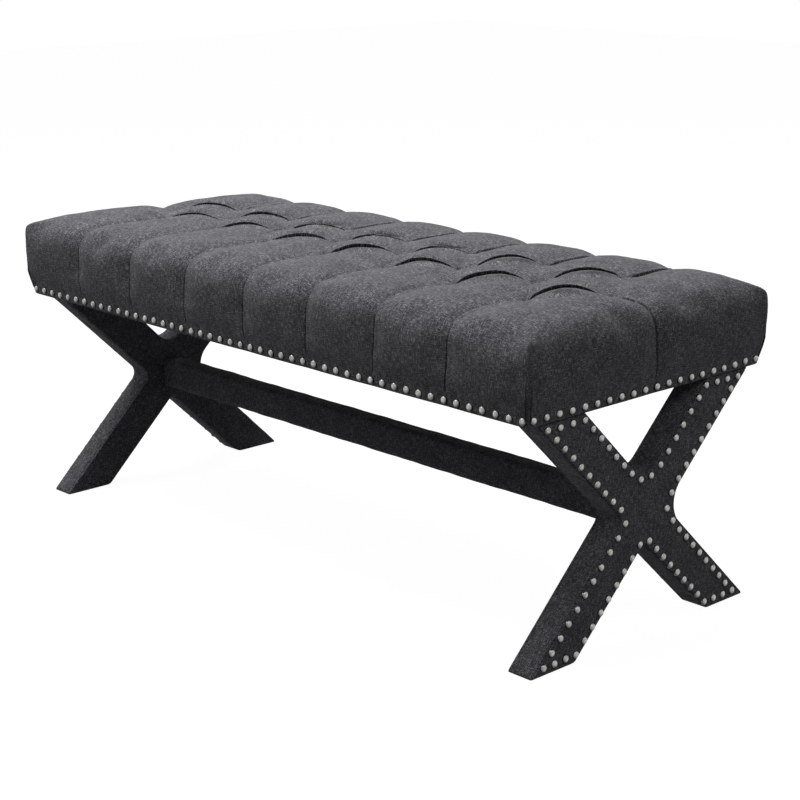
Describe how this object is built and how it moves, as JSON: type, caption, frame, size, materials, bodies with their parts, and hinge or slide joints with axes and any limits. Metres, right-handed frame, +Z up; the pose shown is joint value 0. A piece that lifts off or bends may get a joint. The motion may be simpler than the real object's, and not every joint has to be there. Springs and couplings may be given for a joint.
{
  "type": "upholstered bench",
  "caption": "Long upholstered bench: a diamond-tufted seat with nailhead trim on two padded X frames joined by a covered stretcher.",
  "frame": {"origin": "on the floor under the middle of the seat", "axes": "+X along the length to the right end, +Y to the rear, +Z up"},
  "size_m": [1.24, 0.529, 0.5092],
  "materials": {
    "charcoal_linen": "matte",
    "dust_cloth": "matte",
    "seat_foam": "matte",
    "wadding": "matte",
    "twine": "matte",
    "plywood": "matte",
    "pine": "matte",
    "nickel_nails": "polished",
    "zinc_screws": "satin",
    "glide_plastic": "satin"
  },
  "bodies": {
    "root": {"seat_cover": "charcoal_linen", "left_frame_cover": "charcoal_linen", "right_frame_cover": "charcoal_linen", "stretcher_cover": "charcoal_linen", "dust_cover": "dust_cloth", "foam_slab": "seat_foam", "wadding_layer": "wadding", "tuft_ties": "twine", "seat_deck": "plywood", "front_rail": "pine", "rear_rail": "pine", "left_end_rail": "pine", "right_end_rail": "pine", "left_cross_rail": "pine", "right_cross_rail": "pine", "corner_blocks": "pine", "left_leg_front": "pine", "left_leg_rear": "pine", "right_leg_front": "pine", "right_leg_rear": "pine", "stretcher_rail": "pine", "front_nails": "nickel_nails", "rear_nails": "nickel_nails", "left_end_nails": "nickel_nails", "right_end_nails": "nickel_nails", "left_frame_nails": "nickel_nails", "right_frame_nails": "nickel_nails", "coach_screws": "zinc_screws", "foot_glides": "glide_plastic"}
  },
  "joints": []
}
